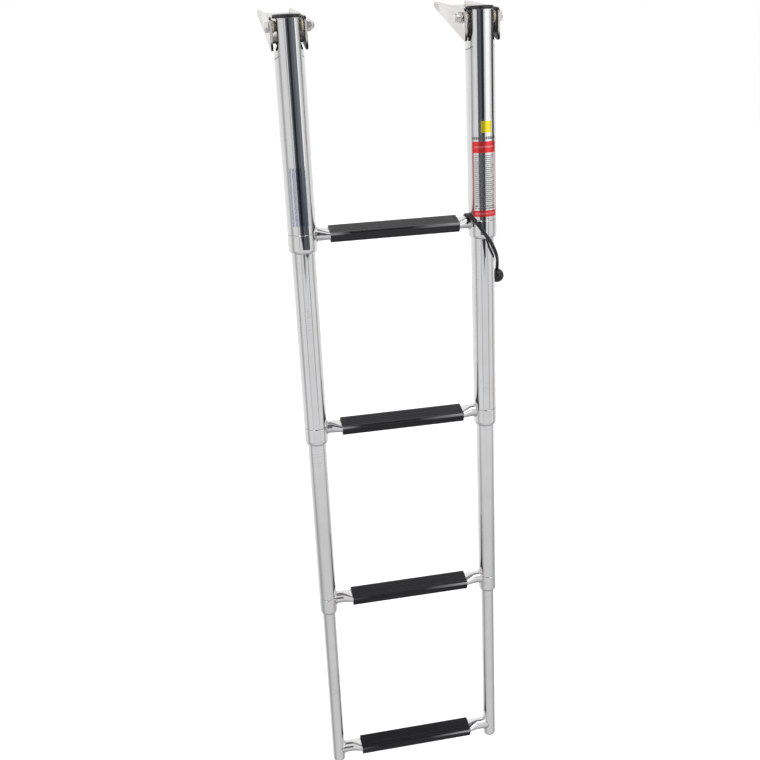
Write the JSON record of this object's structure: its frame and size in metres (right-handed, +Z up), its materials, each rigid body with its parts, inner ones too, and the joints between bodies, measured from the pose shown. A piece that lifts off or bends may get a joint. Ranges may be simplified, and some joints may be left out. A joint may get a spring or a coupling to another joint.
{
  "type": "boat boarding ladder",
  "caption": "Telescoping stainless boarding ladder with flat rubber treads, hinged in tapering deck brackets so that it folds up over a platform.",
  "frame": {"origin": "on the hinge axis, halfway between the two rails", "axes": "+Z up along the rails, +X along the hinge axis to the climber's right, +Y towards the boat"},
  "size_m": [0.3072, 0.1669, 1.113],
  "materials": {
    "polished_steel": "mirror polished stainless tube",
    "satin_steel": "polished stainless plate",
    "bolt_steel": "stainless fastener",
    "black_rubber": "satin black, ribbed on the treads",
    "black_plastic": "moulded, slightly rough",
    "nylon": "natural nylon"
  },
  "bodies": {
    "brackets": {"left_bracket": "satin_steel", "left_hinge_bolt": "bolt_steel", "left_lock_nut": "bolt_steel", "left_hinge_bush_outer": "nylon", "left_hinge_bush_inner": "nylon", "right_bracket": "satin_steel", "right_hinge_bolt": "bolt_steel", "right_lock_nut": "bolt_steel", "right_hinge_bush_outer": "nylon", "right_hinge_bush_inner": "nylon"},
    "section_1": {"left_upper_tube": "polished_steel", "left_end_cap": "black_plastic", "left_collar_1": "polished_steel", "left_collar_bush_1": "nylon", "right_upper_tube": "polished_steel", "right_end_cap": "black_plastic", "right_collar_1": "polished_steel", "right_collar_bush_1": "nylon", "rung_1": "polished_steel", "tread_1": "black_rubber", "strap_eye": "black_rubber", "strap_rivet": "bolt_steel", "retaining_strap": "black_rubber", "strap_ball": "black_rubber"},
    "section_2": {"left_collar_2": "polished_steel", "left_collar_bush_2": "nylon", "left_tube_2": "polished_steel", "left_slide_bush_2": "nylon", "right_collar_2": "polished_steel", "right_collar_bush_2": "nylon", "right_tube_2": "polished_steel", "right_slide_bush_2": "nylon", "rung_2": "polished_steel", "tread_2": "black_rubber"},
    "section_3": {"left_collar_3": "polished_steel", "left_collar_bush_3": "nylon", "left_tube_3": "polished_steel", "left_slide_bush_3": "nylon", "right_collar_3": "polished_steel", "right_collar_bush_3": "nylon", "right_tube_3": "polished_steel", "right_slide_bush_3": "nylon", "rung_3": "polished_steel", "tread_3": "black_rubber"},
    "section_4": {"left_tube_4": "polished_steel", "left_slide_bush_4": "nylon", "right_tube_4": "polished_steel", "right_slide_bush_4": "nylon", "rung_4": "polished_steel", "tread_4": "black_rubber"}
  },
  "joints": [
    {"name": "ladder_hinge", "type": "hinge", "parent": "brackets", "child": "section_1", "pos_m": [0, 0, 0], "axis": [-1, 0, 0], "range_deg": [0, 252]},
    {"name": "section_2_slide", "type": "slide", "parent": "section_1", "child": "section_2", "axis": [0, 0, 1], "range_m": [0, 0.208]},
    {"name": "section_3_slide", "type": "slide", "parent": "section_2", "child": "section_3", "axis": [0, 0, 1], "range_m": [0, 0.237]},
    {"name": "section_4_slide", "type": "slide", "parent": "section_3", "child": "section_4", "axis": [0, 0, 1], "range_m": [0, 0.231]}
  ]
}
